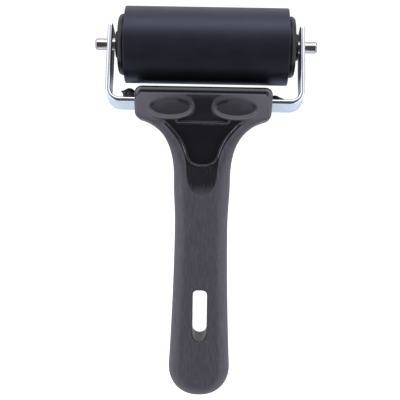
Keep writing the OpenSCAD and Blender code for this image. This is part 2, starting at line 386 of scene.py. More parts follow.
GRAIN = (0.35, 0.68)                  # range of the grain's noise, from its dark to its pale lines
GRAINED_DARK, GRAINED_PALE = (0.052, 0.049, 0.065), (0.118, 0.113, 0.14)
GRAINED_CLOUD = (0.074, 0.071, 0.092)
GRAINED_HEAD = (0.143, 0.137, 0.17)
# colour of the polished mould, also used for the painted shade on the thumb rests' walls
POLISHED = (0.0135, 0.0128, 0.0165)
# pale colour painted on as highlights along the pocket's rim and on the head's front corners
PAINTED_HIGHLIGHT = (0.42, 0.41, 0.45)
ROUGH_GRAINED, ROUGH_POLISHED = 0.5, 0.24


def mesh_value(material, name):
    """Socket that reads a value stored on the mesh."""
    node = add(material, "Attribute")
    node.attribute_name = name
    return node.outputs["Fac"]


def behind_axle(material, along, near, far, at_near, at_far):
    """Changes from one value to another between two places, given in millimetres behind the axle."""
    return spread(material, along, (AXLE_Y - far) * MM, (AXLE_Y - near) * MM, at_far, at_near)


def grained_color(material, place, grain, along):
    """Colour of the textured surface: lined by its grain, clouded, and paler towards the head."""
    color = mix_colors(material, spread(material, grain, *GRAIN, 0.0, 1.0), GRAINED_DARK, GRAINED_PALE)
    cloud = noise(material, place, (9.0, 16.0, 9.0), detail=2)
    color = mix_colors(material, spread(material, cloud, 0.3, 0.7, 0.0, 0.35), color, GRAINED_CLOUD)
    return mix_colors(material, behind_axle(material, along, 46, 62, 0.3, 0.0), color, GRAINED_HEAD)


def handle_gloss(material, grain, along):
    """How polished the surface is, drawn out in streaks along the grain where the hollow fades; the share
    also holds painted shade on the thumb rests' walls.
    """
    # the mesh's polished share also carries painted shade on the thumb rests' walls
    share = mesh_value(material, "polished")
    between = math_node(material, "MULTIPLY", share, math_node(material, "SUBTRACT", 1.0, share))
    streaks = math_node(material, "MULTIPLY", between, spread(material, grain, 0.36, 0.66, -1.5, 1.5))
    streaks = math_node(material, "MULTIPLY", streaks, behind_axle(material, along, 70, 76, 0.0, 1.0))
    return spread(material, math_node(material, "ADD", share, streaks), 0, 1, 0, 1)


def handle_plastic():
    """Charcoal moulding: grained where textured, smooth and darker where the mould was polished, with painted
    shade on parts of the thumb rests' walls and pale painted highlights on the pocket's rim and the head's
    front corners.
    """
    material, shader, place = new_material("handle_plastic")
    shader.inputs["Specular IOR Level"].default_value = 0.65
    grain = noise(material, place, (0.5, 9.0, 2.0), detail=4, roughness=0.7)
    along = add(material, "SeparateXYZ", Vector=place).outputs["Y"]
    gloss = handle_gloss(material, grain, along)
    color = mix_colors(material, gloss, grained_color(material, place, grain, along), POLISHED)
    # pale patches of painted highlight, where the mesh marks them
    patchy_highlight = spread(material, grain, 0.42, 0.58, 0.1, 1.0)
    patchy_highlight = math_node(material, "MULTIPLY", mesh_value(material, "painted_highlight"), patchy_highlight)
    link(material, mix_colors(material, patchy_highlight, color, PAINTED_HIGHLIGHT), shader.inputs["Base Color"])
    uneven = math_node(material, "MULTIPLY", spread(material, grain, *GRAIN, -0.06, 0.06),
                       spread(material, gloss, 0, 0.5, 1.0, 0.05))
    rough = math_node(material, "ADD", uneven, spread(material, gloss, 0, 1, ROUGH_GRAINED, ROUGH_POLISHED))
    link(material, rough, shader.inputs["Roughness"])
    depth = math_node(material, "MULTIPLY", grain, spread(material, gloss, 0, 0.6, 1.0, 0.04))
    link(material, bump(material, depth, 0.12, 0.8), shader.inputs["Normal"])
    return material


RUBBER_CLEAN, RUBBER_DUSTY = (0.006, 0.006, 0.0088), (0.0095, 0.0097, 0.0135)
RUBBER_SHEEN = (0.7, 0.72, 1.0)


def sleeve_rubber():
    """Ground rubber: blue-black, low sheen, with faint rings from grinding and dusty patches."""
    material, shader, place = new_material("sleeve_rubber")
    shader.inputs["Specular IOR Level"].default_value = 0.78
    shader.inputs["Specular Tint"].default_value = (*RUBBER_SHEEN, 1)
    rings = noise(material, place, (0.35, 40, 40), detail=3)
    patches = noise(material, place, (14, 9, 9), detail=3)
    grit = noise(material, place, (0.25, 0.25, 0.25), detail=2)
    dust = math_node(material, "ADD", math_node(material, "MULTIPLY", rings, 0.5),
                     math_node(material, "MULTIPLY", patches, 0.5))
    color = mix_colors(material, spread(material, dust, 0.35, 0.7, 0, 1), RUBBER_CLEAN, RUBBER_DUSTY)
    link(material, color, shader.inputs["Base Color"])
    link(material, spread(material, patches, 0.3, 0.7, 0.38, 0.46), shader.inputs["Roughness"])
    height = math_node(material, "ADD", math_node(material, "MULTIPLY", rings, 0.6), grit)
    link(material, bump(material, height, 0.02, 0.6), shader.inputs["Normal"])
    return material


def black_plastic(name, color, roughness):
    """Plain black moulding with a slight mottling."""
    material, shader, place = new_material(name)
    mottle = noise(material, place, (3, 3, 3), detail=4)
    grit = noise(material, place, (0.4, 0.4, 0.4), detail=2)
    lighter = tuple(1.7 * c for c in color)
    link(material, mix_colors(material, spread(material, mottle, 0.3, 0.7, 0, 1), color, lighter),
         shader.inputs["Base Color"])
    link(material, spread(material, mottle, 0.3, 0.7, roughness - 0.05, roughness + 0.07),
         shader.inputs["Roughness"])
    link(material, bump(material, grit, 0.03, 0.5), shader.inputs["Normal"])
    return material


def plated_metal(name, color, roughness, brush):
    """Bright plating: brush gives the size in millimetres of its fine marks along x, y and z."""
    material, shader, place = new_material(name, metallic=1.0)
    marks = noise(material, place, brush, detail=3)
    cloud = noise(material, place, (12, 12, 12), detail=2)
    duller = tuple(0.86 * c for c in color)
    link(material, mix_colors(material, spread(material, cloud, 0.35, 0.7, 0, 1), color, duller),
         shader.inputs["Base Color"])
    link(material, spread(material, marks, 0.3, 0.7, roughness * 0.75, roughness * 1.3),
         shader.inputs["Roughness"])
    link(material, bump(material, marks, 0.01, 0.5), shader.inputs["Normal"])
    return material


def finish_piece(piece, body, slot, material, *nodes):
    """Gives a piece its material and its body, and hides the CAD nodes that it stands in for; slot is not
    used.
    """
    piece.data.materials.clear()
    piece.data.materials.append(material)
    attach(piece, body)
    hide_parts(*nodes)
    return piece


# ---------------------------------------------------------------- handle

# The handle's centre line runs on straight from the arms as far as the base bar, then over an arch to
# the shoulder, and then along a longer arc, the tail, to the end of the grip.
SHOULDER_SLOPE = math.radians(-6.5)
END_SLOPE = math.radians(-18)
ARCH_LEN = 42.0
TAIL_LEN = 143.7
ARCH_R = ARCH_LEN / (TILT - SHOULDER_SLOPE)
TAIL_R = TAIL_LEN / (SHOULDER_SLOPE - END_SLOPE)

HEAD_TOP, GRIP_TOP = 11.5, 9.4       # heights of the top face over the centre line
BOTTOM = 9.0                         # depth of the underside below it
PLATE_HALF, PLATE_T, PLATE_AHEAD = (36.0, 8.0), 3.5, 1.0   # the stand's plate, under the head
FIT_GAP = 0.05                       # around the bar and the plate
HEAD_W = HANDLE_HIGH[0] - HANDLE_LOW[0]


def up_from(slope):
    """Unit vector across the centre line, as (y, z)."""
    return np.array([math.sin(slope), math.cos(slope)])


BAR = np.array([BAR_Y, BAR_Z])
ARCH_MIDDLE = BAR - ARCH_R * up_from(TILT)
ARCH_END = ARCH_MIDDLE + ARCH_R * up_from(SHOULDER_SLOPE)
TAIL_MIDDLE = ARCH_END - TAIL_R * up_from(SHOULDER_SLOPE)


def handle_axes(y, z):
    """Distance behind the base bar along the handle's centre line, and height over that line."""
    dy, dz = y - BAR[0], z - BAR[1]
    ahead = (dz * math.sin(TILT) - dy * math.cos(TILT), dy * math.sin(TILT) + dz * math.cos(TILT))
    ay, az = y - ARCH_MIDDLE[0], z - ARCH_MIDDLE[1]
    arch = ((TILT - np.arctan2(ay, az)) * ARCH_R, np.hypot(ay, az) - ARCH_R)
    ty, tz = y - TAIL_MIDDLE[0], z - TAIL_MIDDLE[1]
    tail = (ARCH_LEN + (SHOULDER_SLOPE - np.arctan2(ty, tz)) * TAIL_R, np.hypot(ty, tz) - TAIL_R)
    in_arch, in_tail = arch[0] > 0, arch[0] > ARCH_LEN
    return tuple(np.where(in_tail, c, np.where(in_arch, b, a)) for a, b, c in zip(ahead, arch, tail))


def tail_place(d):
    """Distance behind the bar along the centre line, for a place on the tail d behind the axle."""
    return ARCH_LEN + (SHOULDER_SLOPE - math.asin((AXLE_Y - d - TAIL_MIDDLE[0]) / TAIL_R)) * TAIL_R


# In plan, places on the handle are given by x from its middle and d, the distance behind the axle.
HEAD_BACK_D, FLARE_END_D, WAIST_D = 47.0, 84.0, 110.0
TOTAL_D = AXLE_Y - HANDLE_LOW[1]
GRIP_END_D = TOTAL_D - 21.0
FLARE, NECK, WAIST, GRIP_END = 38.6, 17.1, 16.1, 19.0   # half widths, from the head's back to the end


def grip_half(d):
    """Half width of the grip, d behind the axle."""
    upper = NECK + (WAIST - NECK) * ease((d - FLARE_END_D) / (WAIST_D - FLARE_END_D))
    lower = WAIST + (GRIP_END - WAIST) * (np.maximum(d - WAIST_D, 0) / (GRIP_END_D - WAIST_D)) ** 1.7
    return np.where(d < WAIST_D, upper, lower)


def mirrored(half):
    """Closed outline from the (x, d) points of its right-hand half."""
    half = np.array(half)
    return np.concatenate([half, half[::-1] * [-1, 1]])


def handle_outline():
    """Head with round front corners, neck, waisted grip and round end."""
    corner_r = 4.4
    corner_x, corner_d = HEAD_W / 2 - corner_r, AXLE_Y - HANDLE_HIGH[1] + corner_r
    angles = np.radians(np.arange(90, -1, -10))
    head = [(corner_x + corner_r * math.cos(a), corner_d - corner_r * math.sin(a)) for a in angles]
    side = [(HEAD_W / 2 - 0.9, 43.8), (HEAD_W / 2 - 1.5, 45.6)]
    neck = bezier([(FLARE, HEAD_BACK_D), (25.8, 50.4), (16.5, 60.8), (NECK, FLARE_END_D)], 24)
    grip = [(float(grip_half(d)), d) for d in np.linspace(FLARE_END_D, GRIP_END_D, 24)]
    end = bezier([(GRIP_END, GRIP_END_D), (19.9, TOTAL_D - 10.5), (13.9, TOTAL_D), (0, TOTAL_D)], 24)[1:]
    return mirrored(head + side + [tuple(p) for p in neck] + grip + [tuple(p) for p in end])


def shelf_outline():
    """The polished hollow between the neck's ribs, as far down as it fades out."""
    side = bezier([(26.3, 47.2), (13.5, 60), (11.5, 65), (9.9, 73)], 14)
    tip = bezier([(9.9, 73), (9.4, 82), (8.6, 92), (0.01, 93.5)], 14)
    return mirrored([(0.01, 47.2)] + [tuple(p) for p in side] + [tuple(p) for p in tip])


def pocket_outline():
    """The deep pocket within that hollow, from the ridge down to its round end."""
    top = [(0.01, RIDGE_D + 0.7), (14.4, RIDGE_D + 0.7), (16.0, 48.9), (16.6, 47.8), (23.6, 48.0)]
    side = bezier([(23.6, 48.0), (14.5, 55.5), (11.5, 62), (9.5, 69)], 14)
    bottom = bezier([(9.5, 69), (8.4, 72.8), (5.2, 74.9), (0.01, 74.9)], 8)
    return mirrored(top + [tuple(p) for p in side] + [tuple(p) for p in bottom])


RIDGE_D = 49.6                       # ridge between the thumb rests and the pocket
POCKET_DEPTH, SHELF_DEPTH = 5.2, 0.9
PLAN_LOW, PLAN_HIGH = (-50, 15), (50, 230)
plan = Lattice(handle_outline(), PLAN_LOW, PLAN_HIGH)
shelf_plan = Lattice(shelf_outline(), PLAN_LOW, PLAN_HIGH)
pocket_plan = Lattice(pocket_outline(), PLAN_LOW, PLAN_HIGH)

# On the handle's surface, s is the distance behind the base bar along the centre line.
THUMB_X, THUMB_S, THUMB_HALF = 19.7, 5.5, (13.0, 5.6)
BEVEL_RUN = 6.4                      # hollow bevel along the head's front edge
SLOT_S = tail_place(165.1)
SLOT_HALF = (4.4, 16.4)


def top_height(x, s):
    """Height of the top face over the centre line, before anything is cut into it."""
    height = HEAD_TOP + (GRIP_TOP - HEAD_TOP) * ease((s - 10) / 40)
    crown = 0.6 + 1.2 * ease((s - 20) / 40)
    return height - crown * (x / 17.0) ** 2 * ease((s - 12) / 30)


def thumb_distance(x, s):
    """Plan distance to the rim of the nearer thumb rest."""
    return ellipse_distance(np.abs(x) - THUMB_X, s - THUMB_S, *THUMB_HALF)


def channel_share(x, d, s):
    """1 in the channel between the thumb rests and 0 outside it, soft at its front end."""
    half = 12.5 + 3.0 * ease((s - 3) / 8)
    inside = np.minimum(thumb_distance(x, s) - 1.0, half - np.abs(x))
    return ease(inside / (0.8 + 3.4 * (1 - ease((s + 1) / 5)))) * ease((RIDGE_D - d) / 1.4)


def bevel_share(edge, s):
    """0 at the bevel's crest and about 1 at the head's edge; it dies out behind the front corners."""
    reach = (BEVEL_RUN - 0.2) * (1 - ease((s + 6) / 9)) - 0.3
    return (reach + edge) / BEVEL_RUN


def slot_distance(x, s):
    """Plan distance to the hanging slot, squarer at its upper end."""
    corner = SLOT_HALF[0] - 1.4 * ease((SLOT_S - s) / 4)
    dx = np.maximum(np.abs(x) - SLOT_HALF[0] + corner, 0)
    ds = np.maximum(np.abs(s - SLOT_S) - SLOT_HALF[1] + corner, 0)
    return np.hypot(dx, ds) - corner


def handle_distance(x, y, z):
    """Distance to the handle: its body between plan, top and bottom, with everything cut out of it."""
    s, h = handle_axes(y, z)
    s, h, x, d = np.broadcast_arrays(s, h, x - HANDLE_X, AXLE_Y - y)
    edge = plan(x, d)
    top = top_height(x, s)
    soft = ease((s - 12) / 38)
    body = np.maximum(round_overlap(edge, h - top, 2.0 + 5.2 * soft),
                      round_overlap(edge, -BOTTOM - h, 1.6 + 5.4 * soft))
    # hollow bevel along the front edge and round its corners
    out = bevel_share(edge, s)
    hollow = np.where(out > 0, 1 - np.maximum(1 - out / 0.65, 0) ** 2, 3 * out)
    drop = BEVEL_RUN * (0.28 * out + 0.22 * hollow)
    body = round_overlap(body, (h - HEAD_TOP + drop) * 0.8, 1.2)
    # dished thumb rests
    rests = thumb_distance(x, s) + 0.8 * (top - h)
    sunk = 0.35 + 0.8 * ease((s - 0.5) / 8)
    body = carve(body, round_overlap(rests, top - sunk - h, 1.2), 0.9)
    # channel between the rests
    body = np.maximum(body, h - top + 1.3 * ease((s + 1.5) / 11) * channel_share(x, d, s))
    # polished hollow and the pocket in it
    shelf = top - SHELF_DEPTH * (1 - ease((d - 73) / 12)) + 0.05 * ease((d - 83) / 4) - h
    body = carve(body, round_overlap(np.maximum(shelf_plan(x, d), RIDGE_D + 0.6 - d), shelf, 0.4), 0.6)
    pocket = pocket_plan(x, d) + 0.12 * np.maximum(top - SHELF_DEPTH - h, 0)
    floor = top - SHELF_DEPTH - (POCKET_DEPTH - SHELF_DEPTH) * ease((d - 48) / 14) - h
    body = carve(body, round_overlap(pocket, floor, 0.5), 0.45)
    # hanging slot
    body = carve(body, slot_distance(x, s), 1.2)
    # groove that the base bar sits in
    along, across = frame_axes(y, z)
    groove = np.maximum(np.abs(along + ARM_REACH) - STRIP_T / 2, across - STRIP_W / 2) - FIT_GAP
    body = carve(body, groove, 0.25)
    # flat seat for the stand's plate
    seat = np.abs(along + ARM_REACH - PLATE_AHEAD) - PLATE_HALF[1] - FIT_GAP
    seat = np.maximum(seat, across + STRIP_W / 2)
    body = np.maximum(body, -seat)
    return np.maximum(body, HANDLE_LOW[2] - z)


def hollow_polish(x, d, top, h):
    """The hollow behind the ridge, with the pocket, fading out down the grip."""
    below = ramp((top - 0.12 - h) / 0.3)
    hollow = ramp(0.7 - shelf_plan(x, d) / 0.5) * ramp((d - RIDGE_D - 0.3) / 0.5)
    fading = 1 - 0.1 * ease((d - 74) / 2) - 0.8 * ease((d - 85) / 9)
    hollow = hollow * fading * np.where(d < 78, below, 1)
    return np.maximum(hollow, ramp(0.6 - pocket_plan(x, d) / 0.5) * below)


def rest_polish_and_shade(x, s):
    """The thumb rests: half polished floors, and painted shade as dark glossy crescents on two stretches of
    their walls.
    """
    rests = thumb_distance(x, s)
    floor = 0.58 + 0.27 * ease((s - 4) / 5)
    soft = 1.4 - 0.8 * ease((s - 3) / 3)
    wall = ramp((0.3 - rests) / 0.5) * ramp((rests + 3.4) / 2.0)
    # painted shade: darker, glossier crescents on the walls at the rests' outer ends and at their inner front
    # ends
    outer_end = ease((np.abs(x) - 24) / 5) * ease((s - 1) / 3)
    inner_end = ease((18 - np.abs(x)) / 4) * ease((5.5 - s) / 2)
    return np.maximum(floor * ramp((0.2 - rests) / soft), 0.92 * wall * np.maximum(outer_end, inner_end))


def polish_and_shade_share(x, d, s, h):
    """How smooth and dark the surface is, from 0 where the mould was grained to 1 where it was polished; it
    also carries the thumb rests' painted shade.
    """
    crest = bevel_share(plan(x, d), s)
    behind = ramp(-crest / 0.16)
    channel = ramp(1.8 * channel_share(x, d, s)) * behind
    bevel = ramp((crest - 0.01) / 0.14)
    slot = ramp((0.9 - slot_distance(x, s)) / 0.6)
    ridge = 0.85 * ramp(1.4 - np.abs(d - RIDGE_D - 0.2)) * ramp((15.5 - np.abs(x)) / 0.5)
    return np.maximum.reduce([hollow_polish(x, d, top_height(x, s), h), channel, bevel, slot, ridge,
                              rest_polish_and_shade(x, s), smooth_dark_face_share(x, s) * behind])


def smooth_dark_face_share(x, s):
    """How far the head's textured face turns smoother and darker: across the front behind the bevel, and in a
    ring round the thumb rests.
    """
    front = ramp(0.97 - 0.027 * np.abs(x)) * (1 - ease((s + 0.5) / 4))
    around = 0.72 * (1 - ease((np.abs(x) - 20) / 12)) * ease((s + 0.5) / 4) * (1 - ease((s - 12) / 4))
    return front + around


def painted_highlight_share(x, d, s, h):
    """Painted highlights: pale patches along the pocket's rim and on the head's front corners, more of them
    at +x.
    """
    depth = top_height(x, s) - SHELF_DEPTH - h
    rim = ramp(1 - np.abs(pocket_plan(x, d) - 0.1) / 0.5) * ramp(1.3 - depth)
    upper = np.where(x > 0, 49.0, 59.0)
    # painted highlight along the pocket's rim
    rim_highlight = 0.8 * rim * ease((d - upper) / 4) * (1 - 0.7 * ease((d - 66) / 6))
    # painted highlight on the head's front corners
    corner = ease((np.abs(x) - HEAD_W / 2 + 4.5) / 2.5) * ramp(bevel_share(plan(x, d), s) / 0.2)
    return np.maximum(rim_highlight, np.where(x > 0, 0.4, 0.25) * corner)


def make_handle():
    """Handle moulding, with its polish (which also carries painted shade on the thumb rests' walls) and its
    painted highlights stored on the mesh for the material.
    """
    piece, points = surface_mesh("handle_body", handle_distance, HANDLE_LOW, HANDLE_HIGH, cell=0.42)
    place = (points[:, 0] - HANDLE_X, AXLE_Y - points[:, 1], *handle_axes(points[:, 1], points[:, 2]))
    # the polish share also holds painted shade on the thumb rests' walls; the other share is painted
    # highlight
    for name, share in (("polished", polish_and_shade_share), ("painted_highlight", painted_highlight_share)):
        attribute = piece.data.attributes.new(name, "FLOAT", "POINT")
        attribute.data.foreach_set("value", share(*place).astype(np.float32))
    return finish_piece(piece, "frame", "handle_plastic", handle_plastic(), "handle")


# ---------------------------------------------------------------- frame strip

def strip_section(half_t, half_w, r, steps=7):
    """Rounded rectangle across the strip, as (across the thickness, across the width)."""
    points = []
    for quarter, (a, b) in enumerate(((1, 1), (-1, 1), (-1, -1), (1, -1))):
        for t in np.linspace(0, math.pi / 2, steps):
            angle = t + quarter * math.pi / 2
            points.append((a * (half_t - r) + r * math.cos(angle), b * (half_w - r) + r * math.sin(angle)))
    return points


def strip_path():
    """Middle line of the bent strip as (x, along, heading), from the left arm's end to the right's."""
    half = (STRIP_HIGH[0] - STRIP_LOW[0]) / 2 - STRIP_T / 2
    radius = BEND_R + STRIP_T / 2
    # the rings lie closer together near the end of an arm
    arm = [STRIP_TAIL, STRIP_TAIL - 1.8, *np.linspace(STRIP_TAIL - 3.5, radius - ARM_REACH, 7)[:-1]]
    path = [(-half, along, -math.pi / 2) for along in arm]
    for t in np.linspace(0, math.pi / 2, 13):
        x = radius - half - radius * math.cos(t)
        path.append((x, radius - ARM_REACH - radius * math.sin(t), t - math.pi / 2))
    path += [(x, -ARM_REACH, 0.0) for x in np.linspace(radius - half, half - radius, 14)[1:-1]]
    right = [(-x, along, -heading) for x, along, heading in path[::-1] if abs(x) > half - radius - 1e-6]
    return path + right


def rounded_end(x, along, heading):
    """Rings (x, along, heading, inset) that draw in towards the end face of an arm."""
    rings = []
    for t in np.linspace(0, math.pi / 2, 6):
        inset = STRIP_EDGE_R - STRIP_EDGE_R * math.cos(t)
        rings.append((x, along - STRIP_EDGE_R + STRIP_EDGE_R * math.sin(t), heading, inset))
    return rings


def make_strip():
    """Bent strip: a rounded section swept along its path, with both axle holes drilled."""
    path = strip_path()
    rings = [(*place, 0.0) for place in path[1:-1]]
    rings = rounded_end(*path[0])[::-1] + rings + rounded_end(*path[-1])
    vertices, faces = [], []
    for x, along, heading, inset in rings:
        edge_r = max(STRIP_EDGE_R - inset, 0.02)
        for t, w in strip_section(STRIP_T / 2 - inset, STRIP_W / 2 - inset, edge_r):
            vertices.append(from_frame(x - t * math.sin(heading), along + t * math.cos(heading), w))
    n = len(vertices) // len(rings)
    for k in range(len(rings) - 1):
        for j in range(n):
            faces.append([k * n + j, k * n + (j + 1) % n, (k + 1) * n + (j + 1) % n, (k + 1) * n + j])
    faces.append(list(range(n))[::-1])
    faces.append([(len(rings) - 1) * n + j for j in range(n)])
    piece = new_object("plated_strip", vertices, faces)
    recalculate_normals(piece)
    drill_axle_holes(piece)
    material = plated_metal("plated_strip", (0.90, 0.93, 0.98), 0.16, (0.3, 14, 0.3))
    return finish_piece(keep_flats_flat(piece), "frame", "plated_strip", material, "frame_strip")


CUTTER_BORE = 0.5             # of the hole cutter, until solid_core() closes it


def drill_axle_holes(piece):
    """Cuts both arms' holes, with a small bevel round each mouth."""
    face = STRIP_HIGH[0]
    inner = face - STRIP_T
    bevel, over = 0.35, 1.0
    flare = AXLE_R + bevel + over
    outline = [(inner - over, CUTTER_BORE, 0), (inner - over, flare, 0), (inner + bevel, AXLE_R, 0),
               (face - bevel, AXLE_R, 0), (face + over, flare, 0), (face + over, CUTTER_BORE, 0)]
    for side in (-1, 1):
        cutter = lathe("cutter", outline, side, segments=96)
        solid_core(cutter)
        boolean = piece.modifiers.new("hole", "BOOLEAN")
        boolean.operation = "DIFFERENCE"
        boolean.solver = "EXACT"
        boolean.object = cutter
        bake_modifiers(piece)
        bpy.data.objects.remove(cutter)
    piece.data.set_sharp_from_angle(angle=math.radians(40))


def solid_core(piece):
    """Closes the cutter's thin bore, so that it is a solid plug."""
    mesh = bmesh.new()
    mesh.from_mesh(piece.data)
    y, z = AXLE_Y * MM, AXLE_Z * MM
    core = [v for v in mesh.verts if math.hypot(v.co.y - y, v.co.z - z) < 1.2 * CUTTER_BORE * MM]
    for v in core:
        v.co.y, v.co.z = y, z
    bmesh.ops.remove_doubles(mesh, verts=core, dist=1e-7)
    loose = [e for e in mesh.edges if not e.link_faces or len(e.link_faces) > 2]
    bmesh.ops.delete(mesh, geom=loose, context="EDGES")
    mesh.to_mesh(piece.data)
    mesh.free()


def bake_modifiers(piece):
    """Replaces a piece's mesh by what its modifiers make of it."""
    view = bpy.context.evaluated_depsgraph_get()
    baked = bpy.data.meshes.new_from_object(piece.evaluated_get(view))
    piece.modifiers.clear()
    piece.data = baked


# ---------------------------------------------------------------- axle, roller and washers

PIN_R, PIN_CHAMFER = 3.45, 0.8       # the axle's free ends
AXLE_BORE = 0.01                     # too thin to see: lathe() only makes rings
RUBBER_T, TUBE_T = 5.0, 2.3
CAP_GAP, WASHER_GAP = 0.06, 0.1      # around the axle
HUB_R, PLUG_INNER_R, PLUG_R = 7.4, 13.9, 16.4


def make_axle():
    """Rod of full size as far as the arms, with thinner, chamfered ends outside them."""
    end, arm = AXLE_HIGH[0], STRIP_HIGH[0]
    right = [(arm, AXLE_R, 0.02), (arm, PIN_R, 0), (end - PIN_CHAMFER, PIN_R, 0.2),
             (end, PIN_R - PIN_CHAMFER, 0.15), (end, AXLE_BORE, 0)]
    outline = [(-x, radius, r) for x, radius, r in right[::-1]] + right
    piece = lathe("axle_rod", outline, segments=96)
    material = plated_metal("axle_steel", (0.83, 0.80, 0.78), 0.12, (0.15, 6, 6))
    return finish_piece(piece, "frame", "axle_steel", material, "axle")


def make_sleeve():
    """Thick rubber tube with square ends."""
    middle = (SLEEVE_LOW[0] + SLEEVE_HIGH[0]) / 2
    half = (SLEEVE_HIGH[0] - SLEEVE_LOW[0]) / 2
    outer = (SLEEVE_HIGH[2] - SLEEVE_LOW[2]) / 2
    inner = outer - RUBBER_T
    outline = [(-half, inner, 0.3), (-half, outer, 0.4), (half, outer, 0.4), (half, inner, 0.3)]
    piece = lathe("rubber_cover", outline, origin=middle, segments=192)
    return finish_piece(piece, "roller", "sleeve_rubber", sleeve_rubber(), "rubber_sleeve")


def make_core():
    """Rigid tube that carries the rubber."""
    low, high = corners("core_tube")
    outer = (high[2] - low[2]) / 2
    inner = outer - TUBE_T
    middle, half = (low[0] + high[0]) / 2, (high[0] - low[0]) / 2
    outline = [(-half, inner, 0.3), (-half, outer, 0.2), (half, outer, 0.2), (half, inner, 0.3)]
    piece = lathe("core_pipe", outline, origin=middle)
    material = black_plastic("core_plastic", (0.3, 0.29, 0.27), 0.6)
    return finish_piece(piece, "roller", "core_plastic", material, "core_tube")


def make_cap(side, name, material):
    """Flat-faced flange with a fine groove round its rim, on a plug that sits in the core tube."""
    low, high = corners(name)
    face = high[0] if side > 0 else -low[0]
    inside = low[0] if side > 0 else -high[0]
    rubber = SLEEVE_HIGH[0] if side > 0 else -SLEEVE_LOW[0]
    outer, bore = (high[2] - low[2]) / 2, AXLE_R + CAP_GAP
    web = rubber - 2
    plug = [(inside, bore, 0.2), (inside, HUB_R, 0.3), (web, HUB_R, 0.3), (web, PLUG_INNER_R, 0.4),
            (inside, PLUG_INNER_R, 0.3), (inside, PLUG_R, 0.5), (rubber, PLUG_R, 0)]
    groove = outer - 0.4
    rim = [(rubber, outer, 0.15), (rubber + 0.75, outer, 0.15), (rubber + 0.95, groove, 0.1),
           (rubber + 1.2, groove, 0.1), (rubber + 1.4, outer, 0.15)]
    sunk = face - 0.6
    front = [(face - 0.15, outer - 0.3, 2.7), (face, 12.6, 0.4), (sunk, 11.9, 0.4), (sunk, 9.6, 0.3),
             (face, 9.0, 0.3), (face, bore + 0.3, 0.05), (face - 0.3, bore, 0.05)]
    piece = lathe(name + "_moulding", plug + rim + front, side)
    return finish_piece(piece, "roller", "cap_plastic", material, name)


def make_washer(side, name, material):
    """Small disc on the axle, between a cap and an arm."""
    low, high = corners(name)
    near, far = (low[0], high[0]) if side > 0 else (-high[0], -low[0])
    outer, bore = (high[2] - low[2]) / 2, AXLE_R + WASHER_GAP
    outline = [(near, bore, 0.15), (near, outer, 0.3), (far, outer, 0.45), (far, bore, 0.2)]
    piece = lathe(name + "_disc", outline, side, segments=96)
    return finish_piece(piece, "washers", "washer_plastic", material, name)


# ---------------------------------------------------------------- stand and screws

FOOT_T, PAD_R, TIP_R = 3.5, 4.2, 0.5
FOOT_BEHIND, FOOT_STAGGER = 30.0, 1.5   # feet behind the axle, the left one a little ahead
HIP_R, ANKLE_R = 3.0, 2.2
SCREW_X, SCREW_BEHIND = 22.0, 3.6       # screws from the stand's middle and behind the base bar
SCREW_HOLE_R, SHANK_R, SHANK_LEN = 1.7, 1.5, 12.0
SCREW_HEAD_R, SCREW_HEAD_H = 2.9, 2.0
CROSS_HALF, CROSS_DEPTH = (0.45, 1.7), 0.9


def box_distance(x, y, z, half, r):
    """Distance to a box of the given half sizes, with edges rounded to r."""
    q = [np.abs(v) - half[k] + r for k, v in enumerate((x, y, z))]
    outside = np.sqrt(sum(np.maximum(v, 0) ** 2 for v in q))
    return outside + np.minimum(np.maximum.reduce(np.broadcast_arrays(*q)), 0) - r


def taper_distance(x, y, z, a, b, ra, rb):
    """Distance to a bar from a to b whose radius runs from ra to rb."""
    axis = np.subtract(b, a)
    t = ((x - a[0]) * axis[0] + (y - a[1]) * axis[1] + (z - a[2]) * axis[2]) / (axis @ axis)
    t = np.clip(t, 0, 1)
    gap = np.sqrt(sum((v - a[k] - t * axis[k]) ** 2 for k, v in enumerate((x, y, z))))
    return gap - (ra + (rb - ra) * t)


def foot_distance(x, y, z, side, reach, foot_y):
    """Distance to a flat round pad with a pointed tip, whose outer end is reach from the middle."""
    pad = np.hypot(x - side * (reach - 5.6), y - foot_y) - PAD_R
    pad = round_overlap(pad + 0.25 * np.maximum(z - 1.5, 0), z - FOOT_T + 0.1 * np.maximum(pad, -3), 0.9)
    root, tip = (side * (reach - 5.0), foot_y + 0.9, 0.8), (side * (reach - 0.5), foot_y + 2.0, 1.2)
    return blend_union(pad, taper_distance(x, y, z, root, tip, 2.6, TIP_R), 1.0)


def stand_distance(x, y, z):
    """Distance to the stand: a plate with two screw holes, and two splayed legs on feet."""
    along, across = frame_axes(y, z)
    top = -STRIP_W / 2 - 0.02
    middle = top - PLATE_T / 2
    x = x - STAND_X
    ahead = along + ARM_REACH - PLATE_AHEAD
    stand = box_distance(x, ahead, across - middle, (*PLATE_HALF, PLATE_T / 2), 1.0)
    reach = STAND_HIGH[0] - STAND_X
    for side in (-1, 1):
        foot_y = AXLE_Y - FOOT_BEHIND - side * FOOT_STAGGER
        hip = from_frame(side * (PLATE_HALF[0] - 4), PLATE_AHEAD - PLATE_HALF[1] + 3.5 - ARM_REACH, middle)
        ankle = (side * (reach - 6.6), foot_y, FOOT_T - 1.2)
        leg = taper_distance(x, y, z, hip, ankle, HIP_R, ANKLE_R)
        foot = foot_distance(x, y, z, side, reach, foot_y)
        stand = blend_union(stand, blend_union(leg, foot, 0.8), 1.5)
    stand = np.maximum(stand, across - top)
    for side in (-1, 1):
        hole = np.hypot(x - side * SCREW_X, along + ARM_REACH + SCREW_BEHIND) - SCREW_HOLE_R
        stand = carve(stand, hole, 0.2)
    return np.maximum(stand, STAND_LOW[2] - z)


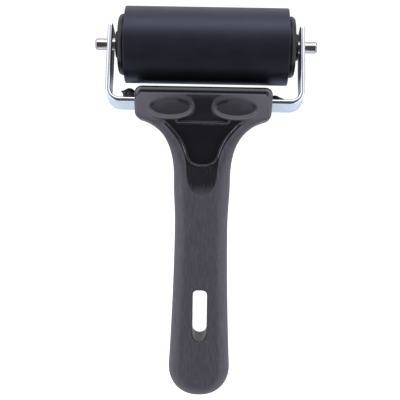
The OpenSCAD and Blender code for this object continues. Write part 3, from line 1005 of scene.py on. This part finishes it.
def screw_distance(x, y, z):
    """Distance to both screws: pan heads with cross recesses, under the plate, and plain shanks."""
    along, across = frame_axes(y, z)
    dx, ds = np.abs(x - STAND_X) - SCREW_X, along + ARM_REACH + SCREW_BEHIND
    up = across + STRIP_W / 2 + PLATE_T
    radial = np.hypot(dx, ds)
    head = round_overlap(radial - SCREW_HEAD_R, 0.05 * radial ** 2 - SCREW_HEAD_H - up, 0.5)
    head = np.maximum(head, up)
    narrow, wide = CROSS_HALF
    cross = np.minimum(np.maximum(np.abs(dx) - narrow, np.abs(ds) - wide),
                       np.maximum(np.abs(ds) - narrow, np.abs(dx) - wide))
    head = carve(head, np.maximum(cross, up + CROSS_DEPTH), 0.12)
    shank = np.maximum(radial - SHANK_R, np.maximum(up - SHANK_LEN, -up - 0.5))
    return np.minimum(head, shank)


def make_stand():
    """Stand moulding, under the head."""
    piece, _ = surface_mesh("stand_moulding", stand_distance, STAND_LOW, STAND_HIGH, cell=0.45)
    material = black_plastic("stand_plastic", (0.014, 0.014, 0.016), 0.36)
    return finish_piece(piece, "frame", "stand_plastic", material, "rest_stand")


def make_screws():
    """The pair of screws that hold the stand."""
    low, high = corners("stand_screws")
    piece, _ = surface_mesh("stand_screw_pair", screw_distance, low, high, cell=0.22)
    material = plated_metal("screw_steel", (0.62, 0.62, 0.64), 0.3, (0.3, 0.3, 0.3))
    return finish_piece(piece, "frame", "screw_steel", material, "stand_screws")


# ---------------------------------------------------------------- studio

# GLOW is light that the floor gives off to reflections, though the floor is no lamp
WHITE, GLOW = (1.0, 1.0, 1.0), (0.3, 0.3, 0.31)


def floor_light_bands(material, along, plain, bluish_light_by_bar, shadow_between_arms, shade_past_roller):
    """Colour that changes across the floor, as painted light and shadow for reflections: bluish beside the
    base bar, a dark painted shadow between the arms, and a little darker past the roller.
    """
    color = plain
    for start, end, band in ((BAR_Y - 40, BAR_Y - 28, bluish_light_by_bar), (BAR_Y + 4, BAR_Y + 22, shadow_between_arms),
                             (AXLE_Y + 30, AXLE_Y + 50, shade_past_roller)):
        color = mix_colors(material, spread(material, along, start * MM, end * MM, 0.0, 1.0), color, band)
    return color


def make_floor():
    """Pale table top: white to the camera, but to reflections and diffuse light it glows, with painted bands
    of light and shadow where the metal reflects it.
    """
    bpy.ops.mesh.primitive_plane_add(size=6, location=(0, 0, 0))
    floor = bpy.context.object
    floor.name = "floor"
    material, shader, _ = new_material("pale_floor")
    shader.inputs["Roughness"].default_value = 0.9
    shader.inputs["Specular IOR Level"].default_value = 0.0
    position = add(material, "NewGeometry").outputs["Position"]
    along = add(material, "SeparateXYZ", Vector=position).outputs["Y"]
    # painted bands: bluish light beside the bar, the roller's shadow between the arms, a little shade past
    # the roller
    lit = floor_light_bands(material, along, (0.86, 0.87, 0.9), (0.7, 0.81, 0.94), (0.13, 0.13, 0.14), (0.8, 0.8, 0.82))
    link(material, lit, shader.inputs["Base Color"])
    glow = floor_light_bands(material, along, GLOW, (0.31, 0.36, 0.41), (0.01, 0.01, 0.011), GLOW)
    path = add(material, "LightPath")
    # painted light: the floor glows brighter to diffuse rays, which lifts the undersides of the parts
    glow = mix_colors(material, path.outputs["Is Diffuse Ray"], glow, (0.5, 0.49, 0.52))
    glow = mix_colors(material, path.outputs["Is Camera Ray"], glow, WHITE)
    link(material, glow, shader.inputs["Emission Color"])
    shader.inputs["Emission Strength"].default_value = 1.0
    floor.data.materials.append(material)


TENT_DARK, TENT_WHITE = (0.06, 0.06, 0.07), (1.0, 1.0, 1.04)
OPENING_HALF, OPENING_SHIFT = (0.52, 0.88), 0.2   # as shares of the tent's radius


def make_world():
    """White tent, brightest towards +Y, with a dark opening overhead that is drawn out towards -Y."""
    world = bpy.data.worlds.new("tent")
    bpy.context.scene.world = world
    world.use_nodes = True
    place = world.node_tree.nodes.new("ShaderNodeTexCoord").outputs["Generated"]
    split = add(world, "SeparateXYZ", Vector=place)
    across = math_node(world, "DIVIDE", split.outputs["X"], OPENING_HALF[0])
    along = math_node(world, "ADD", split.outputs["Y"], OPENING_SHIFT)
    along = math_node(world, "DIVIDE", along, OPENING_HALF[1])
    flat = add(world, "CombineXYZ", X=across, Y=along)
    radius = add(world, "VectorMath", _0=flat.outputs[0])
    radius.operation = "LENGTH"
    opening = spread(world, radius.outputs["Value"], 0.8, 1.15, 0.0, 1.0)
    below = spread(world, split.outputs["Z"], -0.05, 0.05, 1.0, 0.0)
    wall = math_node(world, "MAXIMUM", opening, below)
    color = mix_colors(world, wall, TENT_DARK, TENT_WHITE)
    background = world.node_tree.nodes["Background"]
    link(world, color, background.inputs["Color"])
    behind = spread(world, split.outputs["Y"], 0.2, 0.8, 0.0, 1.0)
    level = spread(world, split.outputs["Z"], 0.02, 0.28, 0.3, 1.55)
    glow = math_node(world, "MULTIPLY", behind, math_node(world, "SUBTRACT", level, 1.0))
    link(world, math_node(world, "ADD", 1.0, glow), background.inputs["Strength"])


def make_light(name, place, target, size, power):
    """White rectangular panel at a place, facing a target, both in metres."""
    light = bpy.data.lights.new(name, "AREA")
    light.shape = "RECTANGLE"
    light.size, light.size_y = size
    light.energy = power
    lamp = bpy.data.objects.new(name, light)
    bpy.context.scene.collection.objects.link(lamp)
    lamp.location = place
    aim = bpy.data.objects.new(name + "_aim", None)
    bpy.context.scene.collection.objects.link(aim)
    aim.location = target
    track = lamp.constraints.new("TRACK_TO")
    track.target = aim
    track.track_axis, track.up_axis = "TRACK_NEGATIVE_Z", "UP_Y"


CAMERA_ABOVE, CAMERA_BEHIND, CAMERA_ASIDE = 620.0, 95.3, 7.0   # from the axle's middle
AIM_ASIDE = 8.9                      # how far across the aim is from the camera
CAMERA_TURN = math.radians(1.12)


def make_camera():
    """Nearly straight down on the tool, from arm's length."""
    camera = bpy.data.objects.new("camera", bpy.data.cameras.new("camera"))
    bpy.context.scene.collection.objects.link(camera)
    camera.data.sensor_width = 36
    camera.data.lens = 90.1
    place = (CAMERA_ASIDE, AXLE_Y - CAMERA_BEHIND, AXLE_Z + CAMERA_ABOVE)
    camera.location = [value * MM for value in place]
    camera.rotation_euler = (0, math.atan(AIM_ASIDE / CAMERA_ABOVE), CAMERA_TURN)
    bpy.context.scene.camera = camera


def make_studio():
    """Floor, tent, three panels of light and the camera."""
    bpy.context.scene.view_settings.view_transform = "Standard"
    make_floor()
    make_world()
    make_light("back_panel", (0.0, 0.9, 0.5), (0, 0.05, 0.02), (1.3, 0.3), 1.2)
    make_light("left_panel", (-0.95, 0.05, 0.45), (0, 0.0, 0.02), (0.9, 0.35), 0.5)
    make_light("right_panel", (0.95, 0.05, 0.45), (0, 0.0, 0.02), (0.9, 0.35), 0.5)
    make_camera()


make_handle()
make_strip()
make_axle()
make_sleeve()
make_core()
cap_material = black_plastic("cap_plastic", (0.0095, 0.0092, 0.012), 0.33)
washer_material = black_plastic("washer_plastic", (0.01, 0.01, 0.011), 0.45)
for side, word in ((-1, "left"), (1, "right")):
    make_cap(side, word + "_end_cap", cap_material)
    make_washer(side, word + "_washer", washer_material)
make_stand()
make_screws()
make_studio()
